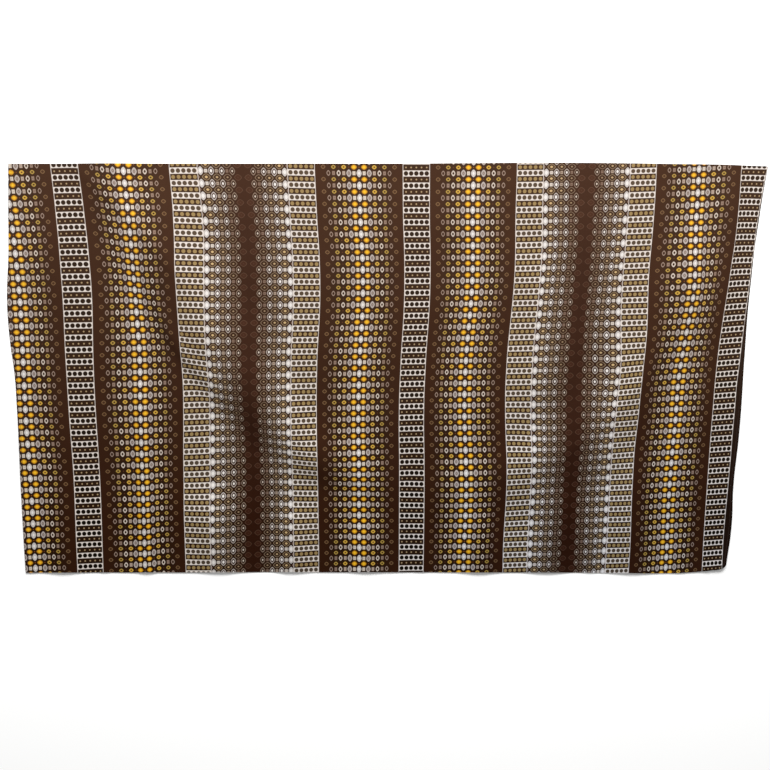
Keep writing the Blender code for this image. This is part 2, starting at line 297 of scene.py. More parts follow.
# %% The main folds, as in the part
FOLDS = {
    "left_swag": (
        FoldPoint(-0.758, 0.610, 0.009, 0.100, 0.130),
        FoldPoint(-0.690, 0.492, 0.012, 0.125, 0.140),
        FoldPoint(-0.610, 0.380, 0.015, 0.145, 0.150),
        FoldPoint(-0.532, 0.244, 0.018, 0.145, 0.155),
        FoldPoint(-0.452, 0.098, 0.021, 0.132, 0.155),
        FoldPoint(-0.366, -0.024, 0.020, 0.116, 0.140),
        FoldPoint(-0.264, -0.138, 0.015, 0.100, 0.120),
        FoldPoint(-0.125, -0.226, 0.011, 0.090, 0.105),
        FoldPoint(0.060, -0.275, 0.000, 0.085, 0.095),
    ),
    "right_swag": (
        FoldPoint(0.838, 0.460, 0.000, 0.085, 0.055),
        FoldPoint(0.804, 0.325, 0.007, 0.120, 0.080),
        FoldPoint(0.768, 0.175, 0.011, 0.150, 0.100),
        FoldPoint(0.715, 0.050, 0.013, 0.155, 0.125),
        FoldPoint(0.618, -0.075, 0.013, 0.150, 0.160),
        FoldPoint(0.495, -0.172, 0.012, 0.120, 0.170),
        FoldPoint(0.335, -0.246, 0.009, 0.095, 0.170),
        FoldPoint(0.200, -0.278, 0.006, 0.085, 0.140),
        FoldPoint(0.090, -0.295, 0.000, 0.080, 0.110),
    ),
    "right_rise": (
        FoldPoint(0.720, 0.285, 0.000, 0.200, 0.150),
        FoldPoint(0.790, 0.275, 0.006, 0.230, 0.160),
        FoldPoint(0.880, 0.270, 0.007, 0.230, 0.160),
        FoldPoint(0.955, 0.270, 0.000, 0.200, 0.150),
    ),
    "left_rise": (
        FoldPoint(-0.645, -0.370, 0.000, 0.140, 0.110),
        FoldPoint(-0.550, -0.365, 0.006, 0.150, 0.110),
        FoldPoint(-0.440, -0.370, 0.007, 0.150, 0.110),
        FoldPoint(-0.350, -0.385, 0.000, 0.135, 0.100),
    ),
    "right_flute": (
        FoldPoint(0.912, 0.620, 0.005, 0.060, 0.050),
        FoldPoint(0.920, 0.424, 0.006, 0.060, 0.050),
        FoldPoint(0.918, 0.220, 0.000, 0.060, 0.045),
    ),
    "left_crease": (
        FoldPoint(-0.655, 0.030, 0.000, 0.030, 0.030),
        FoldPoint(-0.655, -0.080, 0.008, 0.035, 0.032),
        FoldPoint(-0.656, -0.300, 0.010, 0.040, 0.035),
        FoldPoint(-0.662, -0.580, 0.002, 0.040, 0.035),
    ),
    "ripple_far_left": (
        FoldPoint(-0.885, -0.250, 0.000, 0.060, 0.055),
        FoldPoint(-0.890, -0.400, 0.006, 0.065, 0.060),
        FoldPoint(-0.896, -0.580, 0.0010, 0.068, 0.060),
    ),
    "ripple_left": (
        FoldPoint(-0.440, -0.240, 0.000, 0.070, 0.070),
        FoldPoint(-0.452, -0.380, 0.007, 0.080, 0.070),
        FoldPoint(-0.462, -0.580, 0.0012, 0.085, 0.070),
    ),
    "ripple_middle_left": (
        FoldPoint(-0.250, -0.330, 0.000, 0.055, 0.070),
        FoldPoint(-0.256, -0.430, 0.008, 0.060, 0.075),
        FoldPoint(-0.262, -0.580, 0.0015, 0.062, 0.075),
    ),
    "ripple_middle": (
        FoldPoint(-0.050, -0.370, 0.000, 0.060, 0.065),
        FoldPoint(-0.052, -0.450, 0.006, 0.062, 0.068),
        FoldPoint(-0.055, -0.580, 0.0010, 0.065, 0.070),
    ),
    "ripple_middle_right": (
        FoldPoint(0.268, -0.350, 0.000, 0.070, 0.065),
        FoldPoint(0.270, -0.440, 0.007, 0.075, 0.068),
        FoldPoint(0.272, -0.580, 0.0012, 0.078, 0.070),
    ),
    "ripple_right": (
        FoldPoint(0.480, -0.290, 0.000, 0.080, 0.070),
        FoldPoint(0.474, -0.400, 0.008, 0.085, 0.075),
        FoldPoint(0.470, -0.580, 0.0015, 0.085, 0.078),
    ),
    "ripple_far_right": (
        FoldPoint(0.715, -0.180, 0.000, 0.075, 0.065),
        FoldPoint(0.705, -0.340, 0.007, 0.080, 0.070),
        FoldPoint(0.700, -0.580, 0.0012, 0.085, 0.075),
    ),
}

# %% Finer creases, drawn one by one
CREASES = {
    "upper_left_droop": (
        FoldPoint(-0.830, 0.585, 0.000, 0.020, 0.030),
        FoldPoint(-0.700, 0.470, 0.0022, 0.022, 0.034),
        FoldPoint(-0.580, 0.330, 0.0024, 0.024, 0.036),
        FoldPoint(-0.500, 0.220, 0.000, 0.024, 0.036),
    ),
    "swag_line": (
        FoldPoint(-0.632, 0.270, 0.000, 0.022, 0.034),
        FoldPoint(-0.598, 0.190, 0.0036, 0.023, 0.036),
        FoldPoint(-0.560, 0.105, 0.0036, 0.024, 0.038),
        FoldPoint(-0.480, 0.010, 0.0020, 0.024, 0.036),
        FoldPoint(-0.385, -0.090, 0.000, 0.024, 0.030),
    ),
    "right_swag_line": (
        FoldPoint(0.788, 0.210, 0.000, 0.030, 0.024),
        FoldPoint(0.735, 0.075, 0.0016, 0.032, 0.026),
        FoldPoint(0.645, -0.060, 0.0018, 0.032, 0.028),
        FoldPoint(0.520, -0.178, 0.0014, 0.030, 0.028),
        FoldPoint(0.400, -0.240, 0.000, 0.028, 0.026),
    ),
    "middle_rib": (
        FoldPoint(-0.020, 0.330, 0.000, 0.030, 0.030),
        FoldPoint(-0.012, 0.120, 0.0014, 0.034, 0.030),
        FoldPoint(-0.004, -0.120, 0.000, 0.030, 0.030),
    ),
    "grey_rib": (
        FoldPoint(-0.352, 0.420, 0.000, 0.028, 0.026),
        FoldPoint(-0.345, 0.180, 0.0015, 0.030, 0.028),
        FoldPoint(-0.340, -0.040, 0.000, 0.028, 0.026),
    ),
    "right_grey_rib": (
        FoldPoint(0.530, 0.480, 0.000, 0.028, 0.030),
        FoldPoint(0.525, 0.210, 0.0018, 0.030, 0.032),
        FoldPoint(0.515, -0.020, 0.000, 0.028, 0.030),
    ),
    "low_rib_left": (
        FoldPoint(-0.770, -0.330, 0.000, 0.026, 0.024),
        FoldPoint(-0.776, -0.460, 0.0018, 0.028, 0.026),
        FoldPoint(-0.782, -0.580, 0.0006, 0.030, 0.026),
    ),
    "low_rib_middle": (
        FoldPoint(0.110, -0.360, 0.000, 0.026, 0.028),
        FoldPoint(0.106, -0.470, 0.0020, 0.028, 0.030),
        FoldPoint(0.104, -0.580, 0.0006, 0.030, 0.030),
    ),
    "low_rib_right": (
        FoldPoint(0.600, -0.330, 0.000, 0.026, 0.024),
        FoldPoint(0.592, -0.450, 0.0020, 0.028, 0.026),
        FoldPoint(0.588, -0.580, 0.0006, 0.030, 0.028),
    ),
    "edge_rib_right": (
        FoldPoint(0.865, -0.150, 0.000, 0.030, 0.024),
        FoldPoint(0.858, -0.340, 0.0024, 0.032, 0.026),
        FoldPoint(0.850, -0.560, 0.0008, 0.034, 0.028),
    ),
}
FOLD_SAMPLES = 90


def walk(path, samples):
    """Points and directions along a smooth line through the rows of a table."""
    rows = np.array(path, float)
    run = np.arange(len(rows), dtype=float)
    line = smooth_through(run, rows, np.linspace(0, run[-1], samples))
    way = np.gradient(line[:, :2], axis=0)
    way /= np.linalg.norm(way, axis=1)[:, None]
    return line, way


def beside(x, y, path):
    """The nearest row of a fold's path, how far off it is, and on which side."""
    line, way = walk(path, FOLD_SAMPLES)
    nearest = np.argmin((x[..., None] - line[:, 0]) ** 2 + (y[..., None] - line[:, 1]) ** 2, axis=-1)
    reach_x = x - line[nearest, 0]
    reach_y = y - line[nearest, 1]
    side = -way[nearest, 1] * reach_x + way[nearest, 0] * reach_y
    return line[nearest], np.hypot(reach_x, reach_y), side


def fold_lift(x, y, path):
    """How far one fold lifts the cloth at each point."""
    row, away, side = beside(x, y, path)
    width = np.where(side < 0, row[..., 3], row[..., 4])
    return row[..., 2] * np.cos(np.clip(away / width, 0, 1) * math.pi / 2) ** 2


print(len(FOLDS), "folds and", len(CREASES), "fine creases")

# %% [markdown]
# ## How high the cloth lies
#
# One function gives the height of the cloth's underside at any point, so the cloth, its hems and its
# stitches all agree. It adds the folds, a slow unevenness of about a millimetre, the turned layer
# under each hem, and a slight curl where the right end and the rounded corner lift off the floor.

# %% The height of the cloth
Wave = namedtuple("Wave", "length_x length_y turn rise")
UNEVEN = (
    Wave(0.410, 0.900, 0.4, 0.0005),
    Wave(0.230, -0.620, 2.1, 0.0004),
    Wave(0.145, 0.370, 4.0, 0.0002),
    Wave(0.760, -0.240, 5.2, 0.0003),
)
CURL_RISE = 0.0045
CURL_PLACE = (0.985, -0.560)
CURL_REACH = 0.110
END_CURL_RISE = 0.0020
END_CURL_REACH = 0.030
END_CURL_TOP = 0.25
END_CURL_FADE = 0.20
EDGE_LINES = (left_outline(), right_outline())


def uneven(x, y):
    """The slow unevenness of cloth that was only smoothed down by hand."""
    total = sum(w.rise for w in UNEVEN)
    for w in UNEVEN:
        total = total + w.rise * np.sin(2 * math.pi * (x / w.length_x + y / w.length_y) + w.turn)
    return total


def from_ends(x, y):
    """How far each point is from the nearest end of the cloth, where it is near one."""
    gap = np.full(np.shape(x), 1.0)
    for line in EDGE_LINES:
        near = np.abs(x - line[:, 0].mean()) < 0.12
        away = np.hypot(x[near][:, None] - line[:, 0], y[near][:, None] - line[:, 1]).min(axis=1)
        gap[near] = np.minimum(gap[near], away)
    return gap


def curl(x, y):
    """The lift of the right end and of its rounded corner."""
    corner = np.hypot(x - CURL_PLACE[0], y - CURL_PLACE[1]) / CURL_REACH
    end = (read_edge(RIGHT_END, y) - x) / END_CURL_REACH
    low = step_up((END_CURL_TOP - y) / END_CURL_FADE)
    return CURL_RISE * (1 - step_up(corner)) + END_CURL_RISE * (1 - step_up(end)) * low


def lie(x, y):
    """How high the underside of the cloth lies."""
    height = uneven(x, y) + curl(x, y)
    for path in (*FOLDS.values(), *CREASES.values()):
        height = height + fold_lift(x, y, path)
    return height


def ply_lift(x, y):
    """The turned layer of a hem lifts the cloth that lies on it."""
    share = (from_ends(x, y) - HEM_LIFT_FLAT) / (HEM_LIFT_END - HEM_LIFT_FLAT)
    return HEM_LIFT * (1 - step_up(share))


# %% [markdown]
# ## Where the print lies
#
# A print is flat when it is made, and moves with the cloth. Each point of the shell therefore gets two
# numbers: how far along the print it is, in metres, and which row of the print it is in. The seven
# ladder stripes are 0.305 m apart on the flat print. The table says where they lie on the floor, and a
# smooth curve joins them. The rows run nearly level, and droop towards the middle of the cloth. Where a
# fold takes up cloth it tugs the print, and across the left swag the rows step down by a little.

# %% The print's place on the cloth
PrintRow = namedtuple("PrintRow", "y first second third fourth fifth sixth seventh")
LADDERS = (
    PrintRow(-0.480, -0.8190, -0.5190, -0.2190, 0.0768, 0.3737, 0.6650, 0.9462),
    PrintRow(-0.210, -0.8200, -0.5170, -0.2220, 0.0745, 0.3755, 0.6630, 0.9482),
    PrintRow(-0.070, -0.8232, -0.5146, -0.2238, 0.0720, 0.3680, 0.6710, 0.9490),
    PrintRow(0.060, -0.8243, -0.5167, -0.2220, 0.0755, 0.3680, 0.6782, 0.9520),
    PrintRow(0.320, -0.8250, -0.5230, -0.2133, 0.0843, 0.3820, 0.6775, 0.9745),
    PrintRow(0.440, -0.8290, -0.5235, -0.2190, 0.0805, 0.3805, 0.6820, 0.9832),
    PrintRow(0.575, -0.8370, -0.5310, -0.2250, 0.0780, 0.3800, 0.6820, 0.9830),
)
LADDER_SPACING = 0.305
ROWS_PER_METRE = 32.135
ROW_HEIGHT = 1 / ROWS_PER_METRE
MIDDLE_ROW = 32.111

# A fold takes up cloth and tugs the print towards it. Each tug is a soft round pull, in metres.
Tug = namedtuple("Tug", "x y reach_x reach_y right up")
TUGS = (
    Tug(-0.97, 0.50, 0.10, 0.25, 0.003, -0.004),
    Tug(-0.97, 0.05, 0.09, 0.22, 0.008, 0.000),
    Tug(-0.83, -0.20, 0.08, 0.28, 0.003, -0.004),
    Tug(-0.73, 0.27, 0.08, 0.20, 0.011, -0.002),
    Tug(-0.69, -0.30, 0.06, 0.28, 0.006, -0.002),
    Tug(-0.66, 0.56, 0.10, 0.05, 0.000, -0.005),
    Tug(-0.64, 0.08, 0.07, 0.12, 0.006, -0.001),
    Tug(-0.60, -0.42, 0.05, 0.14, -0.001, 0.006),
    Tug(-0.55, 0.22, 0.10, 0.10, 0.002, 0.003),
    Tug(-0.50, 0.00, 0.06, 0.10, 0.004, 0.001),
    Tug(-0.45, 0.38, 0.09, 0.15, 0.006, -0.003),
    Tug(-0.39, -0.25, 0.09, 0.18, 0.007, 0.002),
    Tug(-0.32, -0.31, 0.08, 0.10, 0.001, 0.004),
    Tug(-0.20, 0.35, 0.22, 0.25, 0.001, -0.004),
    Tug(-0.20, -0.46, 0.25, 0.10, 0.001, 0.004),
    Tug(-0.08, -0.10, 0.14, 0.30, 0.004, 0.000),
    Tug(0.22, -0.30, 0.16, 0.12, 0.000, -0.006),
    Tug(0.37, -0.35, 0.07, 0.20, -0.003, 0.000),
    Tug(0.46, -0.13, 0.08, 0.08, 0.002, -0.006),
    Tug(0.48, 0.40, 0.08, 0.10, 0.005, 0.002),
    Tug(0.50, 0.56, 0.45, 0.06, 0.001, 0.004),
    Tug(0.58, 0.12, 0.06, 0.13, -0.011, 0.001),
    Tug(0.62, 0.05, 0.05, 0.10, 0.008, -0.003),
    Tug(0.62, -0.01, 0.09, 0.09, -0.002, -0.005),
    Tug(0.64, -0.30, 0.05, 0.14, 0.006, -0.001),
    Tug(0.76, 0.02, 0.07, 0.10, -0.010, 0.000),
    Tug(0.84, 0.27, 0.05, 0.11, 0.012, 0.001),
    Tug(0.90, 0.15, 0.12, 0.18, -0.001, -0.003),
    Tug(0.94, 0.05, 0.08, 0.40, -0.004, -0.001),
    Tug(0.95, -0.53, 0.12, 0.14, 0.000, 0.004),
    Tug(0.95, 0.50, 0.05, 0.30, 0.000, 0.002),
    Tug(1.00, -0.53, 0.05, 0.12, 0.000, 0.002),
    Tug(1.03, 0.50, 0.05, 0.30, 0.000, -0.004),
)
StepPoint = namedtuple("StepPoint", "x y strength")
STEP_LINE = (
    StepPoint(-0.775, 0.610, 0.69),
    StepPoint(-0.737, 0.450, 0.87),
    StepPoint(-0.686, 0.313, 1.00),
    StepPoint(-0.606, 0.180, 1.00),
    StepPoint(-0.509, 0.048, 1.00),
    StepPoint(-0.400, -0.075, 1.00),
    StepPoint(-0.270, -0.180, 0.94),
    StepPoint(-0.110, -0.255, 0.69),
    StepPoint(0.060, -0.295, 0.00),
)
SWAG_STEP = 0.100
SWAG_TUG_ABOVE = -0.0075
SWAG_TUG_BELOW = 0.0065
SWAG_REACH_ABOVE = 0.27
SWAG_REACH_BELOW = 0.17

# The right end is gathered a little, so its ladder is narrower there. The share says by how much.
GatherPoint = namedtuple("GatherPoint", "y share")
END_GATHER = (
    GatherPoint(-0.520, 0.17),
    GatherPoint(-0.360, 0.16),
    GatherPoint(-0.170, 0.09),
    GatherPoint(0.000, 0.05),
    GatherPoint(0.120, 0.04),
    GatherPoint(0.210, 0.10),
    GatherPoint(0.300, 0.20),
    GatherPoint(0.380, 0.26),
    GatherPoint(0.460, 0.26),
    GatherPoint(0.530, 0.14),
    GatherPoint(0.585, 0.02),
)
GATHER_START = 6 * LADDER_SPACING - 0.046
GATHER_FADE = 0.016


def print_along(x, y):
    """How far along the flat print each point is."""
    table = np.array(LADDERS)
    places = [smooth_through(table[:, 0], table[:, k], y) for k in range(1, table.shape[1])]
    last = len(places) - 1
    rates = []
    for k in range(last + 1):
        low = max(k - 1, 0)
        high = min(k + 1, last)
        rates.append((high - low) / (places[high] - places[low]))
    result = np.zeros(np.shape(x))
    for k in range(last):
        start, end = places[k], places[k + 1]
        t = np.clip((x - start) / (end - start), 0, 1)
        from_start = k + (x - start) * rates[k]
        from_end = k + 1 + (x - end) * rates[k + 1]
        inside = from_start + (from_end - from_start) * t * t * (3 - 2 * t)
        here = np.ones(np.shape(x), bool) if k == 0 else x >= start
        result = np.where(here, inside, result)
    result = result * LADDER_SPACING
    share = read_edge(END_GATHER, y)
    past = result - GATHER_START
    return result + share * past * step_up(past / GATHER_FADE)


def print_row(x, y):
    """Which row of the print each point is in. White rows are at whole numbers, which rise downward."""
    droop = 0.217 * x + 0.481 * x**2 + 0.474 * x**3
    fan = y * (-0.706 * x + 0.326 * x**2)
    return MIDDLE_ROW - ROWS_PER_METRE * y + droop + fan


def tugged(x, y):
    """The place in the smooth print that shows at each point, now that the folds have tugged it."""
    row, away, side = beside(x, y, STEP_LINE)
    strength = row[..., 2]
    above = step_up(side / SWAG_STEP + 0.5)
    down = SWAG_TUG_ABOVE * np.exp(-(away / SWAG_REACH_ABOVE) ** 2)
    back = SWAG_TUG_BELOW * np.exp(-(away / SWAG_REACH_BELOW) ** 2)
    up = strength * (above * down + (1 - above) * back)
    right = 0.0
    for tug in TUGS:
        share = np.exp(-(((x - tug.x) / tug.reach_x) ** 2) - ((y - tug.y) / tug.reach_y) ** 2)
        right = right + share * tug.right
        up = up + share * tug.up
    return x - right, y - up


def print_place(x, y):
    """Both of the print's coordinates at each point."""
    x, y = tugged(x, y)
    return np.stack([print_along(x, y), print_row(x, y)], -1)


# %% [markdown]
# ## The cloth
#
# The cloth is a grid of points about 7 mm apart, drawn twice: once for its upper face and once for the
# underside, with a rim between. A finer grid would show nothing more at this distance. Two UV maps
# go with it: one holds the print's own coordinates, and the other spreads the cloth over a square.

# %% The cloth's grid
COLUMNS = 280
ROWS = 158
DRAWN_IN = 0.39


def drawn_in(x):
    """How far the lower edge is drawn in where a ripple stands in it."""
    edge = lower_edge(x)
    return DRAWN_IN * sum(fold_lift(x, edge, path) for path in (*FOLDS.values(), *CREASES.values()))


def cloth_grid():
    """Places of the cloth's points, by column and row."""
    across, up = np.meshgrid(np.linspace(0, 1, COLUMNS + 1), np.linspace(0, 1, ROWS + 1), indexing="ij")
    y = read_edge(LOWER_EDGE, 0.0) + up
    for _ in range(4):
        left = read_edge(LEFT_END, y) + SEAM_INSET
        right = read_edge(RIGHT_END, y) - SEAM_INSET
        x = left + (right - left) * across
        low = lower_edge(x, SEAM_INSET) + drawn_in(x)
        y = low + (read_edge(UPPER_EDGE, x) - low) * up
    return x, y, across, up


def give_map(mesh, name, places):
    """Adds a UV map that has one place for each point of the mesh."""
    layer = mesh.uv_layers.new(name=name)
    points = np.empty(len(mesh.loops), int)
    mesh.loops.foreach_get("vertex_index", points)
    layer.data.foreach_set("uv", np.asarray(places, float)[points].ravel())


def new_piece(name, points, faces, material):
    """Makes a smooth mesh object from points in the tables' frame."""
    moved = np.asarray(points, float) - (MIDDLE[0], MIDDLE[1], 0)
    mesh = bpy.data.meshes.new(name)
    mesh.from_pydata(moved.tolist(), [], faces)
    mesh.materials.append(material)
    mesh.shade_smooth()
    made = bpy.data.objects.new(name, mesh)
    bpy.context.scene.collection.objects.link(made)
    return made


def make_cloth(material):
    """The printed cloth, as a thin closed shell."""
    x, y, across, up = cloth_grid()
    under = np.stack([x, y, lie(x, y) + ply_lift(x, y)], -1).reshape(-1, 3)
    points = np.concatenate([under, under + (0, 0, CLOTH)])
    half = len(under)
    rows = ROWS + 1
    corner = (np.arange(COLUMNS)[:, None] * rows + np.arange(ROWS)).ravel()
    lower = np.stack([corner, corner + 1, corner + rows + 1, corner + rows], 1)
    upper = lower[:, ::-1] + half
    rim = [i * rows for i in range(COLUMNS + 1)]
    rim += [COLUMNS * rows + j for j in range(1, rows)]
    rim += [i * rows + ROWS for i in range(COLUMNS - 1, -1, -1)]
    rim += list(range(ROWS - 1, 0, -1))
    sides = [(a, b, b + half, a + half) for a, b in zip(rim, rim[1:] + rim[:1])]
    made = new_piece("sarong_cloth", points, lower.tolist() + upper.tolist() + sides, material)
    printed = print_place(x, y).reshape(-1, 2)
    spread = np.stack([across, up], -1).reshape(-1, 2)
    give_map(made.data, "OFBake", np.tile(spread, (2, 1)))
    give_map(made.data, "Print", np.tile(printed, (2, 1)))
    made.data.set_sharp_from_angle(angle=math.radians(50))
    return made


# %% [markdown]
# ## Writing shader sums in Python
#
# The print is worked out in the shader from the print's coordinates. Written node by node that would be
# hard to read, so one small class wraps a node's output and lets it be used in a sum. Each operator
# adds one Math node. Colours go through Mix nodes, because a Math node would turn them grey.

# %% Sums and nodes
class Wire:
    """The output of a node. Operators on it add Math nodes."""

    def __init__(self, board, socket):
        self.board = board
        self.socket = socket

    def math(self, operation, *others, clamp=False):
        settings = {"operation": operation, "use_clamp": clamp}
        return self.board.node("ShaderNodeMath", settings, {k: v for k, v in enumerate((self, *others))})

    def __add__(self, other):
        return self.math("ADD", other)

    def __radd__(self, other):
        return self.math("ADD", other)

    def __sub__(self, other):
        return self.math("SUBTRACT", other)

    def __rsub__(self, other):
        return self * -1 + other

    def __mul__(self, other):
        return self.math("MULTIPLY", other)

    def __rmul__(self, other):
        return self.math("MULTIPLY", other)

    def __truediv__(self, other):
        return self.math("DIVIDE", other)

    def __mod__(self, other):
        return self.math("FLOORED_MODULO", other)

    def __abs__(self):
        return self.math("ABSOLUTE")

    def __round__(self):
        return self.math("ROUND")

    def at_most(self, other):
        return self.math("MINIMUM", other)

    def at_least(self, other):
        return self.math("MAXIMUM", other)

    def under(self, limit, blur):
        """1 where this is under the limit and 0 where it is over, with a soft edge."""
        return ((limit - self) / blur + 0.5).math("ADD", 0.0, clamp=True)


class Board:
    """The nodes of one material."""

    def __init__(self, name):
        self.material = bpy.data.materials.new(name)
        self.material.use_nodes = True
        self.tree = self.material.node_tree
        self.shader = self.tree.nodes["Principled BSDF"]

    def feed(self, socket, value):
        if isinstance(value, Wire):
            self.tree.links.new(value.socket, socket)
        else:
            socket.default_value = value

    def node(self, kind, settings, inputs, output=0):
        """Adds a node: first its settings, then the values or links of its sockets."""
        made = self.tree.nodes.new(kind)
        for name, value in settings.items():
            if name == "steps":
                self.set_steps(made.color_ramp, value)
            else:
                setattr(made, name, value)
        for key, value in inputs.items():
            self.feed(made.inputs[key], value)
        return Wire(self, made.outputs[output])

    def set_steps(self, ramp, colours):
        """Makes a ramp hold one flat colour for each whole number."""
        ramp.interpolation = "CONSTANT"
        for k, colour in enumerate(colours):
            stop = ramp.elements[k] if k < 2 else ramp.elements.new(k / len(colours))
            stop.position = k / len(colours)
            stop.color = colour

    def mix(self, share, first, second):
        """A colour between two others."""
        inputs = {0: share, 6: first, 7: second}
        return self.node("ShaderNodeMix", {"data_type": "RGBA"}, inputs, output=2)

    def length(self, x, y):
        """The length of a flat vector."""
        both = self.node("ShaderNodeCombineXYZ", {}, {0: x, 1: y})
        return self.node("ShaderNodeVectorMath", {"operation": "LENGTH"}, {0: both}, output=1)


def dye(red, green, blue):
    """A colour as seen, from 0 to 255, turned into the share of light that it reflects."""
    seen = np.array([red, green, blue]) / 255
    light = np.where(seen <= 0.04045, seen / 12.92, ((seen + 0.055) / 1.055) ** 2.4)
    return (*(light * DYE_STRENGTH).tolist(), 1.0)


DYE_STRENGTH = 0.66

# %% [markdown]
# ## The print
#
# The print is a common repeat of plain shapes in stripes: ladders of dots, a stripe of white and gold
# ovals, and a stripe of grey rings. It mirrors about the middle of each stripe, so the distance from a
# stripe's middle is enough to draw it. Dividing that by the motifs' pitch and rounding gives the motif's
# number, and what is left over is the place inside it. Each motif's sizes and colours are a table row,
# and its outline lies between an oval and a lozenge. Painted light makes the colours paler towards the
# top and cooler at the lower right. Past the last ladder the ground is painted darker, as shade of the
# curled right end.

# %% Sizes and colours of the motifs
REPEAT = 3 * LADDER_SPACING
LADDER_HALF = 0.0362
LADDER_BORDER = 0.0013
WHITE_ROW_HALF = 0.250 * ROW_HEIGHT
DOT_PITCH = 0.0138
LAST_DOT = 2
EDGE_BLUR = 0.0012
# Past the last ladder the print is painted darker, as shade of the curled right end.
PAINTED_END_SHADE_START = 6 * LADDER_SPACING + LADDER_HALF
GOLD_PITCH = 0.0270
GREY_PITCH = 0.0274
CELL = 0.020
MOTIF_BLUR = 0.16

BROWN = dye(49, 26, 14)
# The brown past the last ladder is painted shade, where the right end curls off the floor.
END_PAINTED_SHADE = dye(31, 19, 13)
DEEP_BROWN = dye(42, 24, 13)
RED_BROWN = dye(46, 23, 13)
OUTLINE = dye(27, 14, 7)
CLOTH_WHITE = dye(224, 214, 205)
# Painted light: the colours are mixed towards a pale warm tint near the top, as if more light fell there.
PAINTED_LIGHT_TINT = (0.63, 0.35, 0.22, 1.0)
PAINTED_LIGHT_SHARE = 0.037
PAINTED_LIGHT_START_ROW = 13.0
PAINTED_LIGHT_END_ROW = 44.0
# Painted light: the colours are tinted cool towards the lower right, as if a bluish light fell there.
PAINTED_COOL_LIGHT = (0.88, 0.925, 1.0, 1.0)
PAINTED_COOL_START_ROW = 31.0
PAINTED_COOL_ROWS = 16.0
PAINTED_COOL_START = 0.45
PAINTED_COOL_REACH = 0.75

Ladder = namedtuple("Ladder", "dark_row dot dot_half small_dot small_half")
BOLD_LADDER = Ladder(dye(39, 23, 12), dye(20, 14, 8), 0.0060, dye(170, 145, 108), 0.0021)
SOFT_LADDER = Ladder(dye(40, 22, 11), dye(76, 64, 51), 0.0057, dye(150, 126, 82), 0.0049)

Motif = namedtuple("Motif", "half_width half_height hole heart ring inside middle")
NONE = Motif(0.0001, 0.0001, 0, 0, BROWN, BROWN, BROWN)
GOLD_OVALS = (
    Motif(0.0070, 0.0101, 0.66, 0.46, dye(203, 196, 190), dye(183, 175, 168), dye(228, 224, 220)),
    Motif(0.0068, 0.0097, 0.52, 0.22, dye(179, 168, 161), dye(120, 106, 98), dye(158, 145, 137)),
    Motif(0.0054, 0.0077, 0.50, 0.00, dye(202, 188, 174), dye(40, 23, 14), dye(40, 23, 14)),
    Motif(0.0051, 0.0073, 0.60, 0.00, dye(148, 126, 112), dye(48, 29, 19), dye(48, 29, 19)),
)
GOLD_SQUARES = (
    Motif(0.0040, 0.0050, 0.20, 0.00, dye(206, 193, 178), dye(160, 145, 131), dye(160, 145, 131)),
    Motif(0.0038, 0.0051, 0.20, 0.00, dye(172, 153, 138), dye(120, 101, 88), dye(120, 101, 88)),
    Motif(0.0037, 0.0050, 0.22, 0.00, dye(138, 116, 102), dye(84, 63, 50), dye(84, 63, 50)),
    NONE,
)
GOLD_SUNS = (
    Motif(0.0084, 0.0070, 0.74, 0.34, dye(166, 112, 28), dye(226, 168, 34), dye(240, 192, 50)),
    Motif(0.0064, 0.0055, 0.40, 0.00, dye(200, 160, 66), dye(92, 56, 20), dye(92, 56, 20)),
    Motif(0.0062, 0.0054, 0.44, 0.00, dye(168, 138, 66), dye(54, 33, 14), dye(54, 33, 14)),
    Motif(0.0064, 0.0057, 0.58, 0.00, dye(112, 84, 56), dye(62, 39, 25), dye(62, 39, 25)),
)
GOLD_POINTS = (
    Motif(0.0016, 0.0016, 0.00, 0.00, dye(128, 72, 30), BROWN, BROWN),
    Motif(0.0015, 0.0015, 0.00, 0.00, dye(112, 62, 30), BROWN, BROWN),
    Motif(0.0014, 0.0014, 0.00, 0.00, dye(94, 55, 32), BROWN, BROWN),
    NONE,
)
GREY_OVALS = (
    NONE,
    Motif(0.0072, 0.0099, 0.79, 0.30, dye(146, 126, 110), dye(40, 23, 14), dye(206, 191, 176)),
    Motif(0.0075, 0.0103, 0.77, 0.36, dye(186, 173, 163), dye(42, 25, 15), dye(229, 222, 215)),
    Motif(0.0078, 0.0106, 0.78, 0.43, dye(203, 193, 186), dye(62, 44, 35), dye(233, 228, 223)),
    Motif(0.0078, 0.0108, 0.74, 0.58, dye(204, 197, 192), dye(168, 159, 153), dye(229, 224, 219)),
)
GREY_LINKS = (
    NONE,
    Motif(0.0034, 0.0040, 0.24, 0.00, dye(120, 98, 84), dye(66, 46, 34), BROWN),
    Motif(0.0036, 0.0042, 0.26, 0.00, dye(158, 140, 124), dye(90, 72, 58), BROWN),
    Motif(0.0040, 0.0044, 0.20, 0.00, dye(204, 193, 182), dye(160, 147, 135), BROWN),
    NONE,
)
GREY_LOZENGES = (
    Motif(0.0102, 0.0082, 0.86, 0.14, dye(92, 64, 50), dye(56, 31, 20), dye(76, 50, 38)),
    Motif(0.0108, 0.0087, 0.84, 0.26, dye(136, 114, 93), dye(42, 25, 15), dye(150, 126, 98)),
    Motif(0.0110, 0.0089, 0.83, 0.31, dye(143, 122, 97), dye(46, 30, 19), dye(180, 153, 114)),
    Motif(0.0112, 0.0089, 0.82, 0.37, dye(150, 128, 98), dye(58, 40, 27), dye(198, 168, 120)),
    Motif(0.0110, 0.0084, 0.80, 0.00, dye(140, 116, 102), dye(76, 54, 42), BROWN),
)


# %% Drawing one kind of motif
def pick(board, number, values):
    """Reads one of a few colours by its number, counted from 0."""
    place = (number + 0.5) / len(values)
    return board.node("ShaderNodeValToRGB", {"steps": values}, {0: place})


